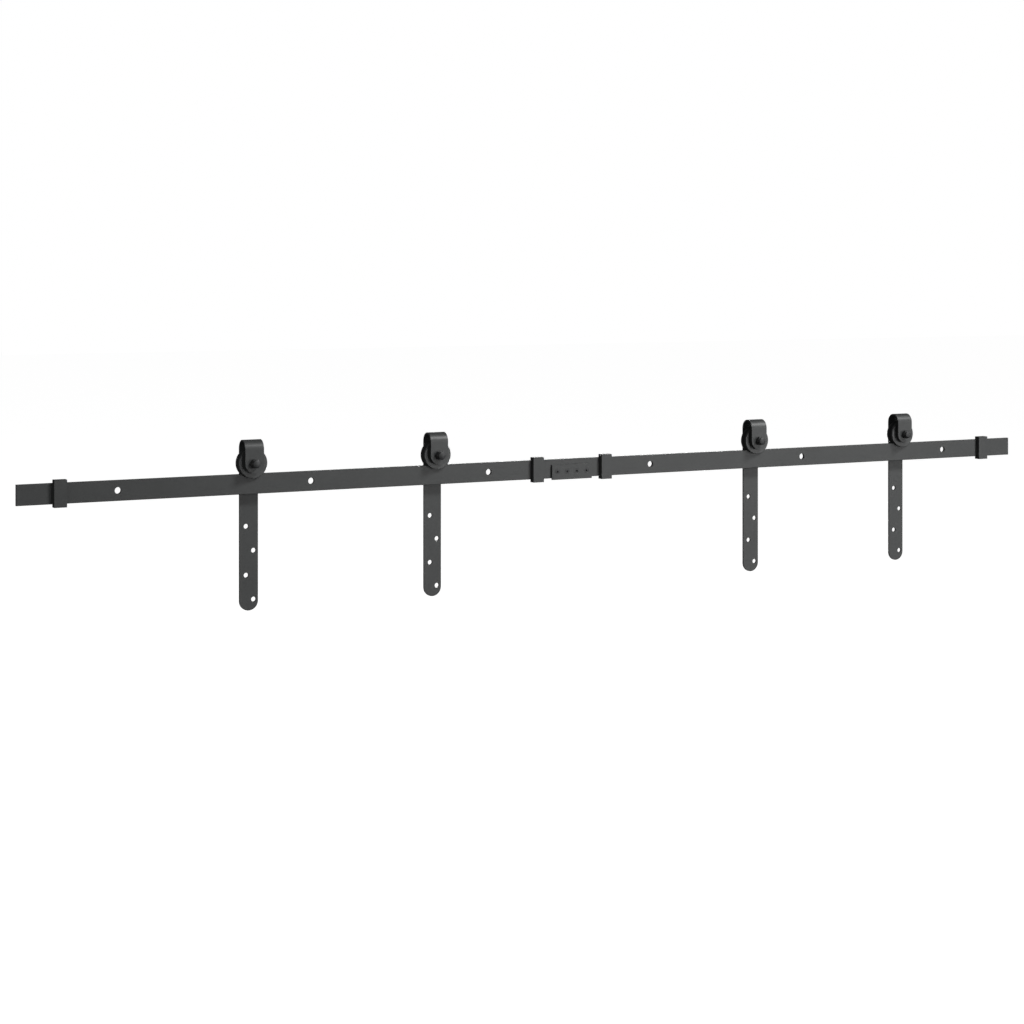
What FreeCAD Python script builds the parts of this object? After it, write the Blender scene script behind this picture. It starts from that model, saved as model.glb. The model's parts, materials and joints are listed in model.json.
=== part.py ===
import FreeCAD, Part
import math
import os
import re
import Sketcher

# A flat-bar sliding door track: two bars joined end to end, four stop blocks, and four J-shaped
# strap hangers whose flanged wheels roll on the bars' top edge.
#
# Frame: the origin is on the bars' wall-side face, at the joint between them and at half their
# height. +X runs along the track, +Y points from the wall into the room, +Z is up.

# Every driving size, in millimetres unless its note says otherwise.
SIZES = [
    ("rail_length", 914, "length of one track bar"),
    ("rail_height", 31, "height of the bar"),
    ("rail_thick", 5, "thickness of the bar"),
    ("edge_break", 0.5, "chamfer on the cut edges of bars and blocks"),
    ("wall_hole_dia", 10, "clearance hole for a wall bolt"),
    ("wall_hole_pitch", 306, "spacing of the three wall holes in one bar"),
    ("plate_length", 74, "connector plate along the track"),
    ("plate_height", 24.5, "connector plate height"),
    ("plate_thick", 3, "connector plate thickness"),
    ("plate_drop", 4.75, "how far the connector screws lie under the bar's middle"),
    ("plate_low", 1, "how far the plate's middle lies under its screws"),
    ("plate_hole_pitch", 18, "spacing of the connector screws"),
    ("screw_dia", 5, "connector and set screw diameter"),
    ("screw_head_dia", 9, "countersunk head diameter"),
    ("screw_head_high", 2.4, "countersunk head height"),
    ("screw_socket", 3, "hexagon socket across flats"),
    ("screw_socket_deep", 1.8, "depth of the hexagon socket"),
    ("thread_gap", 0.05, "radial gap between a screw and its tapped hole"),
    ("head_gap", 0.1, "radial gap around a sunk screw head"),
    ("stop_width", 19, "stop block along the track"),
    ("stop_face", 6.5, "thickness of the stop block's wall on the bar's face"),
    ("stop_lip", 4.8, "thickness of the stop block's lips over and under the bar"),
    ("stop_inset", 63.5, "middle of each stop block from the nearer end of its bar"),
    ("pair_offset", 58, "middle of a pair of hangers from the middle of its bar"),
    ("pair_spacing", 309.5, "distance between the two hangers of a pair"),
    ("strap_width", 30, "width of the hanger strap"),
    ("strap_thick", 3, "thickness of the hanger strap"),
    ("bend_radius", 12, "inner radius of the hanger's bend"),
    ("bend_rise", 20.8, "height of the bend's centre over the axle"),
    ("strap_drop", 227.1, "bottom of the long leg under the axle"),
    ("door_hole_dia", 7.5, "clearance hole for a door bolt"),
    ("door_hole_low", 17, "lowest door hole above the bottom of the strap"),
    ("door_hole_pitch", 37.4, "height between one door hole and the next"),
    ("door_hole_right", 7.7, "offset of the lowest and third door holes towards +X"),
    ("door_hole_left", 4.3, "offset of the second and fourth door holes towards -X"),
    ("tread_dia", 32, "wheel diameter where it rolls on the bar"),
    ("flange_dia", 46, "wheel diameter over the flanges"),
    ("flange_thick", 5, "thickness of each flange"),
    ("flange_gap", 0.45, "gap between a flange and the bar's face"),
    ("flange_round", 0.6, "chamfer on the flange rims"),
    ("flange_taper", 0.7, "how much thinner a flange is at its rim"),
    ("wheel_lip_dia", 19.4, "opening of the lip that the bearing is pressed against"),
    ("roll_gap", 0.2, "gap between the tread and the bar's top edge"),
    ("bearing_dia", 22, "outside diameter of the ball bearing"),
    ("bearing_width", 7, "width of the ball bearing"),
    ("axle_dia", 8, "axle bolt diameter, and the bearing's bore"),
    ("inner_race_dia", 12.1, "outside diameter of the bearing's inner ring"),
    ("outer_race_dia", 19, "inside diameter of the bearing's outer ring"),
    ("ball_dia", 4, "bearing ball diameter"),
    ("ball_circle", 15.55, "diameter of the circle of ball centres"),
    ("ball_count", 7, "number of balls"),
    ("ball_gap", 0.05, "gap between a ball and its grooves"),
    ("cage_wall", 1.4, "radial thickness of the ball cage"),
    ("cage_width", 4.8, "width of the ball cage"),
    ("cage_gap", 0.08, "gap between a ball and its pocket in the cage"),
    ("shield_thick", 0.3, "thickness of a bearing shield"),
    ("shield_gap", 0.2, "radial gap between a shield and the inner ring"),
    ("shield_inset", 0.2, "depth of a shield under the bearing's face"),
    ("fit_gap", 0.03, "radial gap where the axle passes through the clamped pieces"),
    ("leg_hole_gap", 0.25, "radial gap around the axle in the strap's legs"),
    ("spacer_dia", 11.8, "outside diameter of the spacer sleeves"),
    ("washer_dia", 14, "outside diameter of the washers"),
    ("washer_thick", 1, "thickness of the washers"),
    ("nut_flats", 13, "nut and bolt head across flats"),
    ("nut_hex_high", 5.5, "height of the cap nut's hexagon"),
    ("nut_high", 10, "height of the cap nut over its dome"),
    ("nut_dome_dia", 12, "diameter of the cap nut's dome"),
    ("nut_crown", 14, "radius of the low crown on the cap nut's dome"),
    ("nut_thread_deep", 7.5, "depth of the cap nut's threaded hole"),
    ("bolt_reach", 6.5, "how far the axle bolt enters the cap nut"),
    ("bolt_head_high", 5.3, "height of the bolt head"),
    ("corner_chamfer", 1, "chamfer on the corners of the hexagons"),
    ("bolt_tip", 0.8, "chamfer on the axle bolt's tip"),
    ("washer_gap", 0.2, "radial gap between a washer and the axle bolt"),
]

# Lengths that several pieces share, worked out from the driving sizes above.
SHARED = [
    ("axle_height", "rail_height / 2 + roll_gap + tread_dia / 2", "axle over the track's middle"),
    ("hub_middle", "rail_thick / 2", "middle plane of wheel, bearing and bend"),
    ("groove_half", "rail_thick / 2 + flange_gap", "half the width of the wheel's groove"),
    ("wheel_half", "rail_thick / 2 + flange_gap + flange_thick", "half the wheel's width"),
    ("leg_inner", "bend_radius", "inner face of each leg from the hub's middle"),
    ("leg_outer", "bend_radius + strap_thick", "outer face of each leg from the hub's middle"),
    ("seat_outer", "bend_radius + strap_thick + washer_thick", "outer face of each washer"),
    ("rail_half_high", "rail_height / 2", "half the bar's height"),
    ("stop_half_high", "rail_height / 2 + stop_lip", "half the stop block's height"),
    ("ball_room", "ball_dia / 2 + ball_gap", "radius of the grooves that the balls run in"),
    (
        "outer_groove",
        "sqrt(pow(ball_room; 2) - pow((outer_race_dia - ball_circle) / 2; 2))",
        "half the width of the outer ring's groove",
    ),
    (
        "inner_groove",
        "sqrt(pow(ball_room; 2) - pow((ball_circle - inner_race_dia) / 2; 2))",
        "half the width of the inner ring's groove",
    ),
]

# Each hanger and each stop block belongs to a bar (-1 left, 1 right) and to one end of it.
QUARTERS = [(-1, -1), (-1, 1), (1, -1), (1, 1)]

# A sketch on the XZ plane faces -Y, the others face their own plus side.
PLANE_FACES = {"XY_Plane": 1, "XZ_Plane": -1, "YZ_Plane": 1}
ORIGIN_POINT = -1
X_AXIS, Y_AXIS = -1, -2
START, END, CENTRE = 1, 2, 3

doc = FreeCAD.newDocument("sliding_door_hardware")
sheet = doc.addObject("Spreadsheet::Sheet", "Sizes")
aliases = {row[0] for row in SIZES + SHARED}


def fill_sheet():
    """Writes the driving sizes as plain numbers and the shared lengths as formulas."""
    rows = [(alias, str(value), note) for alias, value, note in SIZES]
    rows += [(alias, f"={formula}", note) for alias, formula, note in SHARED]
    for row, (alias, content, note) in enumerate(rows, 1):
        sheet.set(f"A{row}", note)
        sheet.set(f"B{row}", content)
        sheet.setAlias(f"B{row}", alias)
    doc.recompute()


def named(formula):
    """The formula with each alias written as the sheet's own."""
    return re.sub(r"[a-z_]+", lambda m: f"Sizes.{m[0]}" if m[0] in aliases else m[0], formula)


def value_of(formula):
    """The formula's present value."""
    return float(sheet.evalExpression(named(formula)))


def bind(thing, path, formula):
    """Drives a property of an object from the sheet."""
    thing.setExpression(path, named(formula))


def place(thing, x="0", y="0", z="0"):
    """Puts an object at a place given by three formulas."""
    for axis, formula in zip("xyz", (x, y, z)):
        bind(thing, f"Placement.Base.{axis}", formula)


def new_body(name, many=False):
    """An empty body labelled as its node, which may hold many solids if they are one group."""
    body = doc.addObject("PartDesign::Body", name)
    body.Label = name
    body.AllowCompound = many
    return body


def origin_item(body, role):
    """One of the body's own origin planes or axes."""
    return next(item for item in body.Origin.OriginFeatures if item.Role == role)


def sketch_on(body, plane, name, height="0", across="0"):
    """A sketch on an origin plane, lifted along that plane's axis and moved along the sketch."""
    sketch = body.newObject("Sketcher::SketchObject", f"{body.Name}_{name}")
    sketch.AttachmentSupport = [(origin_item(body, plane), "")]
    sketch.MapMode = "FlatFace"
    bind(sketch, "AttachmentOffset.Base.z", f"{PLANE_FACES[plane]} * ({height})")
    bind(sketch, "AttachmentOffset.Base.x", across)
    return sketch


def pin(sketch, geometry, point, x=None, y=None):
    """Holds a point of a sketch at formulas for its place, measured from the sketch's origin."""
    for kind, formula, axis in (("DistanceX", x, Y_AXIS), ("DistanceY", y, X_AXIS)):
        if formula is None:
            continue
        if formula == "0":
            sketch.addConstraint(Sketcher.Constraint("PointOnObject", geometry, point, axis))
            continue
        distance = Sketcher.Constraint(
            kind, ORIGIN_POINT, START, geometry, point, value_of(formula)
        )
        index = sketch.addConstraint(distance)
        bind(sketch, f"Constraints[{index}]", formula)


def circle(sketch, x, y, diameter):
    """A circle with a driven centre and diameter."""
    centre = FreeCAD.Vector(value_of(x), value_of(y), 0)
    shape = Part.Circle(centre, FreeCAD.Vector(0, 0, 1), value_of(diameter) / 2)
    index = sketch.addGeometry(shape, False)
    pin(sketch, index, CENTRE, x, y)
    size = sketch.addConstraint(Sketcher.Constraint("Diameter", index, value_of(diameter)))
    bind(sketch, f"Constraints[{size}]", diameter)


def arc_between(first, last, centre):
    """The arc that runs anticlockwise about a centre from one point to another."""
    spokes = (first - centre, last - centre)
    low, high = (math.atan2(spoke.y, spoke.x) for spoke in spokes)
    if high <= low:
        high += 2 * math.pi
    whole = Part.Circle(centre, FreeCAD.Vector(0, 0, 1), spokes[0].Length)
    return Part.ArcOfCircle(whole, low, high)


def outline(sketch, steps):
    """A closed outline. Each step ends at (x, y); one with a centre and a sense is an arc."""
    places = [FreeCAD.Vector(value_of(step[0]), value_of(step[1]), 0) for step in steps]
    ends = []
    for number, step in enumerate(steps):
        start, end = places[number - 1], places[number]
        backwards = step[-1] == "clockwise"
        if len(step) == 2:
            shape = Part.LineSegment(start, end)
        else:
            centre = FreeCAD.Vector(value_of(step[2]), value_of(step[3]), 0)
            shape = arc_between(end, start, centre) if backwards else arc_between(start, end, centre)
        index = sketch.addGeometry(shape, False)
        ends.append((index, END, START) if backwards else (index, START, END))
    for number, step in enumerate(steps):
        index, _, last = ends[number]
        next_index, next_first, _ = ends[(number + 1) % len(steps)]
        sketch.addConstraint(Sketcher.Constraint("Coincident", index, last, next_index, next_first))
        pin(sketch, index, last, step[0], step[1])
        if len(step) == 2:
            continue
        chord = places[number] - places[number - 1]
        if abs(chord.x) >= abs(chord.y):
            pin(sketch, index, CENTRE, y=step[3])
        else:
            pin(sketch, index, CENTRE, x=step[2])


def rectangle(sketch, left, right, bottom, top):
    """A rectangle with driven sides."""
    outline(sketch, [(left, bottom), (right, bottom), (right, top), (left, top)])


def hexagon(sketch, flats):
    """A hexagon about the sketch's origin, with two corners on its X axis."""
    corner = f"{flats} / sqrt(3)"
    beside = f"{flats} / sqrt(12)"
    side = f"{flats} / 2"
    outline(
        sketch,
        [
            (corner, "0"),
            (beside, side),
            (f"-{beside}", side),
            (f"-{corner}", "0"),
            (f"-{beside}", f"-{side}"),
            (beside, f"-{side}"),
        ],
    )


def finish(body, feature):
    """Works the body out with the feature as its result."""
    body.Tip = feature
    doc.recompute()
    if "Invalid" in feature.State or "Error" in feature.State:
        raise RuntimeError(f"{feature.Name} failed")
    return feature


def finish_cut(body, feature, before):
    """Finishes a feature that has to take material away."""
    finish(body, feature)
    if body.Shape.Volume >= before:
        raise RuntimeError(f"{feature.Name} cut nothing")
    return feature


def facing(sketch):
    """Which way along its own axis the sketch's front looks."""
    return PLANE_FACES[sketch.AttachmentSupport[0][0].Role]


def pad(body, sketch, length, towards=1):
    """Adds material from a sketch towards the plus (1) or minus (-1) side, or half to each (0)."""
    feature = body.newObject("PartDesign::Pad", f"{sketch.Name}_pad")
    feature.Profile = sketch
    bind(feature, "Length", length)
    feature.Midplane = towards == 0
    feature.Reversed = towards == -facing(sketch)
    return finish(body, feature)


def pocket(body, sketch, length, towards=1):
    """Cuts from a sketch towards the plus (1) or minus (-1) side, or half to each (0)."""
    before = body.Shape.Volume
    feature = body.newObject("PartDesign::Pocket", f"{sketch.Name}_pocket")
    feature.Profile = sketch
    bind(feature, "Length", length)
    feature.Midplane = towards == 0
    feature.Reversed = towards == facing(sketch)
    return finish_cut(body, feature, before)


def turn(body, sketch):
    """Adds a sketch turned a full circle about its own vertical axis."""
    feature = body.newObject("PartDesign::Revolution", f"{sketch.Name}_turn")
    feature.Profile = sketch
    feature.ReferenceAxis = (sketch, ["V_Axis"])
    feature.Angle = 360
    return finish(body, feature)


def turn_away(body, sketch):
    """Cuts a sketch turned a full circle about its own vertical axis."""
    before = body.Shape.Volume
    feature = body.newObject("PartDesign::Groove", f"{sketch.Name}_groove")
    feature.Profile = sketch
    feature.ReferenceAxis = (sketch, ["V_Axis"])
    feature.Angle = 360
    return finish_cut(body, feature, before)


def chamfer(body, size, axis):
    """Chamfers the straight edges of the body's result that run along an axis."""
    base = body.Tip
    edges = []
    for number, edge in enumerate(base.Shape.Edges, 1):
        straight = edge.Curve.TypeId == "Part::GeomLine"
        if straight and abs(getattr(edge.tangentAt(edge.FirstParameter), axis)) > 0.999:
            edges.append(f"Edge{number}")
    feature = body.newObject("PartDesign::Chamfer", f"{body.Name}_chamfer")
    feature.Base = (base, edges)
    bind(feature, "Size", size)
    return finish(body, feature)


def row_of_four(body, originals):
    """Repeats features from the first connector screw's place to the other three."""
    pattern = body.newObject("PartDesign::LinearPattern", f"{body.Name}_row")
    pattern.Originals = originals
    pattern.Direction = (origin_item(body, "X_Axis"), [""])
    bind(pattern, "Length", "3 * plate_hole_pitch")
    pattern.Occurrences = 4
    return finish(body, pattern)


def ring_of_balls(body, seed):
    """Repeats a feature at each ball's place around the body's Y axis."""
    pattern = body.newObject("PartDesign::PolarPattern", f"{body.Name}_ring")
    pattern.Originals = [seed]
    pattern.Axis = (origin_item(body, "Y_Axis"), [""])
    pattern.Angle = 360
    bind(pattern, "Occurrences", "ball_count")
    return finish(body, pattern)


def turned(name, profiles):
    """A piece turned about its Y axis from outlines of (radius, place along the axis)."""
    body = new_body(name, many=len(profiles) > 1)
    sketch = sketch_on(body, "XY_Plane", "profile")
    for profile in profiles:
        outline(sketch, profile)
    turn(body, sketch)
    return body


def tube(inner, outer, low, high):
    """The outline of a plain tube between two radii and two places along its axis."""
    return [(inner, low), (outer, low), (outer, high), (inner, high)]


def make_rail(name, bar):
    """One track bar: three wall holes, and two tapped holes at the end that is joined."""
    body = new_body(name)
    blank = sketch_on(body, "XZ_Plane", "blank")
    rectangle(blank, "-rail_length / 2", "rail_length / 2", "-rail_half_high", "rail_half_high")
    pad(body, blank, "rail_thick")
    chamfer(body, "edge_break", "x")
    wall_holes = sketch_on(body, "XZ_Plane", "wall_holes")
    for x in ("-wall_hole_pitch", "0", "wall_hole_pitch"):
        circle(wall_holes, x, "0", "wall_hole_dia")
    pocket(body, wall_holes, "rail_thick")
    taps = sketch_on(body, "XZ_Plane", "taps")
    for pitches in (0.5, 1.5):
        x = f"{-bar} * (rail_length / 2 - {pitches} * plate_hole_pitch)"
        circle(taps, x, "-plate_drop", "screw_dia + 2 * thread_gap")
    pocket(body, taps, "rail_thick")
    place(body, x=f"{bar} * rail_length / 2")
    return body


def make_connector_plate():
    """The plate across the joint, on the wall side, with four countersunk holes."""
    body = new_body("connector_plate")
    blank = sketch_on(body, "XZ_Plane", "blank")
    rectangle(
        blank,
        "-plate_length / 2",
        "plate_length / 2",
        "-plate_height / 2 - plate_low",
        "plate_height / 2 - plate_low",
    )
    pad(body, blank, "plate_thick", towards=-1)
    chamfer(body, "edge_break", "y")
    seat = sketch_on(body, "XY_Plane", "seat", across="-1.5 * plate_hole_pitch")
    hole = "screw_dia / 2 + thread_gap"
    outline(
        seat,
        [
            ("0", "-plate_thick"),
            ("screw_head_dia / 2 + head_gap", "-plate_thick"),
            (hole, "screw_head_high - plate_thick"),
            (hole, "0"),
            ("0", "0"),
        ],
    )
    row_of_four(body, [turn_away(body, seat)])
    place(body, z="-plate_drop")
    return body


def make_connector_screws():
    """Four countersunk socket screws, whose ends stay just inside the bars."""
    body = new_body("connector_screws", many=True)
    first = "-1.5 * plate_hole_pitch"
    profile = sketch_on(body, "XY_Plane", "profile", across=first)
    end = "rail_thick - edge_break"
    outline(
        profile,
        [
            ("0", "-plate_thick"),
            ("screw_head_dia / 2", "-plate_thick"),
            ("screw_dia / 2", "screw_head_high - plate_thick"),
            ("screw_dia / 2", end),
            ("0", end),
        ],
    )
    screw = turn(body, profile)
    socket = sketch_on(body, "XZ_Plane", "socket", height="-plate_thick", across=first)
    hexagon(socket, "screw_socket")
    row_of_four(body, [screw, pocket(body, socket, "screw_socket_deep")])
    place(body, z="-plate_drop")
    return body


def make_stop_block(name, x):
    """A block that stands in front of the bar, with lips over its top and under its bottom."""
    body = new_body(name)
    profile = sketch_on(body, "YZ_Plane", "profile")
    outline(
        profile,
        [
            ("-stop_face", "-stop_half_high"),
            ("rail_thick", "-stop_half_high"),
            ("rail_thick", "-rail_half_high"),
            ("0", "-rail_half_high"),
            ("0", "rail_half_high"),
            ("rail_thick", "rail_half_high"),
            ("rail_thick", "stop_half_high"),
            ("-stop_face", "stop_half_high"),
        ],
    )
    pad(body, profile, "stop_width", towards=0)
    tap = sketch_on(body, "XY_Plane", "tap", height="-stop_half_high")
    circle(tap, "0", "hub_middle", "screw_dia + 2 * thread_gap")
    pocket(body, tap, "stop_lip")
    place(body, x=x)
    return body


def make_stop_screw(name, x):
    """The set screw in a stop block's lower lip, which bears on the bar's bottom edge."""
    body = new_body(name)
    blank = sketch_on(body, "XY_Plane", "blank", height="-stop_half_high")
    circle(blank, "0", "0", "screw_dia")
    pad(body, blank, "stop_lip")
    socket = sketch_on(body, "XY_Plane", "socket", height="-stop_half_high")
    hexagon(socket, "screw_socket")
    pocket(body, socket, "screw_socket_deep")
    place(body, x=x, y="hub_middle")
    return body


def strap_leg(body, name, centre, inner, towards):
    """One flat leg of the strap, from the bend down to its round end."""
    leg = sketch_on(body, "XZ_Plane", name, height=inner)
    edge = "strap_width / 2"
    outline(
        leg,
        [
            (f"-{edge}", "bend_rise"),
            (f"-{edge}", centre),
            (edge, centre, "0", centre, "anticlockwise"),
            (edge, "bend_rise"),
        ],
    )
    pad(body, leg, "strap_thick", towards=towards)


def make_strap(name):
    """The hanger strap: a long leg on the room side, bent over the wheel to a short leg."""
    body = new_body(name)
    strap_leg(body, "long_leg", "strap_width / 2 - strap_drop", "leg_inner", 1)
    bend = sketch_on(body, "YZ_Plane", "bend")
    outline(
        bend,
        [
            ("leg_outer", "bend_rise"),
            ("-leg_outer", "bend_rise", "0", "bend_rise", "anticlockwise"),
            ("-leg_inner", "bend_rise"),
            ("leg_inner", "bend_rise", "0", "bend_rise", "clockwise"),
        ],
    )
    pad(body, bend, "strap_width", towards=0)
    strap_leg(body, "short_leg", "0", "-leg_inner", -1)
    axle_holes = sketch_on(body, "XZ_Plane", "axle_holes")
    circle(axle_holes, "0", "0", "axle_dia + 2 * leg_hole_gap")
    pocket(body, axle_holes, "2 * seat_outer", towards=0)
    door_holes = sketch_on(body, "XZ_Plane", "door_holes", height="leg_inner")
    for step in range(4):
        x = "door_hole_right" if step % 2 == 0 else "-door_hole_left"
        z = f"door_hole_low + {step} * door_hole_pitch - strap_drop"
        circle(door_holes, x, z, "door_hole_dia")
    pocket(body, door_holes, "strap_thick")
    return body


def make_wheel(name):
    """A steel wheel with two flanges, flat faces and a stepped bore for its bearing."""
    flange, tread, rim = "flange_dia / 2", "tread_dia / 2", "flange_dia / 2 - flange_round"
    bore, lip = "bearing_dia / 2", "wheel_lip_dia / 2"
    near_side = [
        (bore, "-wheel_half"),
        (rim, "-wheel_half"),
        (flange, "flange_round - wheel_half"),
        (flange, "-groove_half - flange_taper"),
        (tread, "-groove_half"),
    ]
    far_side = [
        (tread, "groove_half"),
        (flange, "groove_half + flange_taper"),
        (flange, "wheel_half - flange_round"),
        (rim, "wheel_half"),
        (lip, "wheel_half"),
        (lip, "bearing_width / 2"),
        (bore, "bearing_width / 2"),
    ]
    return turned(name, [near_side + far_side])


def make_outer_ring(name):
    """The bearing's outer ring, with a round groove inside."""
    inner, outer, side = "outer_race_dia / 2", "bearing_dia / 2", "bearing_width / 2"
    profile = [
        (outer, f"-{side}"),
        (outer, side),
        (inner, side),
        (inner, "outer_groove"),
        (inner, "-outer_groove", "ball_circle / 2", "0", "clockwise"),
        (inner, f"-{side}"),
    ]
    return turned(name, [profile])


def make_inner_ring(name):
    """The bearing's inner ring, with a round groove outside."""
    inner, outer, side = "axle_dia / 2 + fit_gap", "inner_race_dia / 2", "bearing_width / 2"
    profile = [
        (inner, side),
        (inner, f"-{side}"),
        (outer, f"-{side}"),
        (outer, "-inner_groove"),
        (outer, "inner_groove", "ball_circle / 2", "0", "clockwise"),
        (outer, side),
    ]
    return turned(name, [profile])


def make_balls(name):
    """The bearing's balls."""
    body = new_body(name, many=True)
    ball = body.newObject("PartDesign::AdditiveSphere", f"{name}_ball")
    ball.AttachmentSupport = [(origin_item(body, "XY_Plane"), "")]
    ball.MapMode = "FlatFace"
    bind(ball, "AttachmentOffset.Base.x", "ball_circle / 2")
    bind(ball, "Radius", "ball_dia / 2")
    ring_of_balls(body, finish(body, ball))
    return body


def make_cage(name):
    """The ring that keeps the balls apart, with a round pocket through it for each."""
    middle, half = "ball_circle / 2", "cage_width / 2"
    inner, outer = f"{middle} - cage_wall / 2", f"{middle} + cage_wall / 2"
    body = turned(name, [tube(inner, outer, f"-{half}", half)])
    drill = sketch_on(body, "YZ_Plane", "pocket", height="inner_race_dia / 2")
    circle(drill, "0", "0", "ball_dia + 2 * cage_gap")
    ring_of_balls(body, pocket(body, drill, "ball_circle / 2"))
    return body


def make_shields(name):
    """The thin cover on each side of the bearing, held in the outer ring."""
    inner, outer = "inner_race_dia / 2 + shield_gap", "outer_race_dia / 2"
    top = "bearing_width / 2 - shield_inset"
    low = f"{top} - shield_thick"
    return turned(name, [tube(inner, outer, low, top), tube(inner, outer, f"-({top})", f"-({low})")])


def make_spacers(name):
    """The sleeve on each side of the bearing that keeps the strap's leg off the wheel."""
    inner, outer = "axle_dia / 2 + fit_gap", "spacer_dia / 2"
    low, high = "bearing_width / 2", "leg_inner"
    return turned(name, [tube(inner, outer, low, high), tube(inner, outer, f"-{high}", f"-{low}")])


def make_washers(name):
    """The washers under the bolt head and under the cap nut."""
    inner, outer = "axle_dia / 2 + washer_gap", "washer_dia / 2"
    low, high = "leg_outer", "seat_outer"
    return turned(name, [tube(inner, outer, low, high), tube(inner, outer, f"-{high}", f"-{low}")])


def trim_corners(body, top, inward):
    """Chamfers a hexagon's six corners at one end, with a cut that is deepest at the corners."""
    cut = sketch_on(body, "XY_Plane", "corners")
    flat, corner = "nut_flats / 2", "nut_flats / sqrt(3) + corner_chamfer"
    outline(cut, [(flat, top), (corner, top), (corner, f"{top} {inward} corner_chamfer")])
    turn_away(body, cut)


def make_axle_bolt(name):
    """The hexagon bolt that clamps both legs, both spacers and the bearing's inner ring."""
    shank, tip = "axle_dia / 2", "-(seat_outer + bolt_reach)"
    body = new_body(name)
    profile = sketch_on(body, "XY_Plane", "profile")
    outline(
        profile,
        [
            ("0", tip),
            (f"{shank} - bolt_tip", tip),
            (shank, "bolt_tip - (seat_outer + bolt_reach)"),
            (shank, "seat_outer"),
            ("0", "seat_outer"),
        ],
    )
    turn(body, profile)
    head = sketch_on(body, "XZ_Plane", "head", height="seat_outer")
    hexagon(head, "nut_flats")
    pad(body, head, "bolt_head_high")
    trim_corners(body, "seat_outer + bolt_head_high", "-")
    return body


def make_cap_nut(name):
    """The domed nut on the short leg: a hexagon, a dome and a blind threaded hole."""
    body = new_body(name)
    blank = sketch_on(body, "XZ_Plane", "blank", height="-seat_outer")
    hexagon(blank, "nut_flats")
    pad(body, blank, "nut_hex_high", towards=-1)
    trim_corners(body, "-seat_outer - nut_hex_high", "+")
    dome = sketch_on(body, "XY_Plane", "dome")
    radius, shoulder = "nut_dome_dia / 2", "-seat_outer - nut_hex_high"
    centre = "nut_crown - seat_outer - nut_high"
    brow = f"{centre} - sqrt(pow(nut_crown; 2) - pow({radius}; 2))"
    outline(
        dome,
        [
            ("0", shoulder),
            (radius, shoulder),
            (radius, brow),
            ("0", "-seat_outer - nut_high", "0", centre, "clockwise"),
        ],
    )
    turn(body, dome)
    thread = sketch_on(body, "XZ_Plane", "thread", height="-seat_outer")
    circle(thread, "0", "0", "axle_dia + 2 * thread_gap")
    pocket(body, thread, "nut_thread_deep", towards=-1)
    return body


HANGER_PIECES = {
    "hanger_strap": make_strap,
    "wheel": make_wheel,
    "bearing_outer_ring": make_outer_ring,
    "bearing_inner_ring": make_inner_ring,
    "bearing_balls": make_balls,
    "bearing_cage": make_cage,
    "bearing_shields": make_shields,
    "spacers": make_spacers,
    "washers": make_washers,
    "axle_bolt": make_axle_bolt,
    "cap_nut": make_cap_nut,
}


def make_track():
    """The two bars, the plate and screws that join them, and the four stop blocks."""
    pieces = [make_rail("rail_left", -1), make_rail("rail_right", 1)]
    pieces += [make_connector_plate(), make_connector_screws()]
    for number, (bar, end) in enumerate(QUARTERS, 1):
        x = f"{bar} * rail_length / 2 + {end} * (rail_length / 2 - stop_inset)"
        pieces.append(make_stop_block(f"stop_block_{number}", x))
        pieces.append(make_stop_screw(f"stop_screw_{number}", x))
    return pieces


def make_hanger(number, bar, end):
    """One hanger, each piece of which is modelled about the axle's middle."""
    x = f"{bar} * rail_length / 2 + pair_offset + {end} * pair_spacing / 2"
    pieces = []
    for name, make in HANGER_PIECES.items():
        piece = make(f"{name}_{number}")
        place(piece, x=x, y="hub_middle", z="axle_height")
        pieces.append(piece)
    return pieces


def check(pieces):
    """Stops if any object of the document failed or any piece isn't a valid solid."""
    for thing in doc.Objects:
        if "Invalid" in thing.State or "Error" in thing.State:
            raise RuntimeError(f"{thing.Name}: {thing.State}")
    for piece in pieces:
        shape = piece.Shape
        if shape.isNull() or not shape.isValid() or not shape.Solids:
            raise RuntimeError(f"{piece.Label} has no valid shape")


def write(pieces):
    """Writes one STEP file for each piece."""
    os.makedirs("parts", exist_ok=True)
    for piece in pieces:
        piece.Shape.exportStep(f"parts/{piece.Label}.step")


fill_sheet()
parts = make_track()
for quarter, (bar_side, end_side) in enumerate(QUARTERS, 1):
    parts += make_hanger(quarter, bar_side, end_side)
doc.recompute()
check(parts)
write(parts)
print(f"{len(parts)} nodes written")
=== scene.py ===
"""Finishes, wheels, bearings, fasteners and a studio for a flat-bar sliding door track.

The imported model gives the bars, plate, stops and straps. They keep their shape and get a powder coat on
softened edges. Wheels, bearings, spacers, washers, bolts, nuts and screws are turned here in finer detail,
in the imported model's places. Every round piece of a hanger is turned about its own Z axis, which lies along
the axle and points away from the wall.
"""

import json
import math

import bmesh
import bpy
from bpy.props import FloatProperty, FloatVectorProperty, IntProperty, PointerProperty
from bpy.types import Operator, Panel, PropertyGroup
from mathutils import Matrix, Vector

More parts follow.
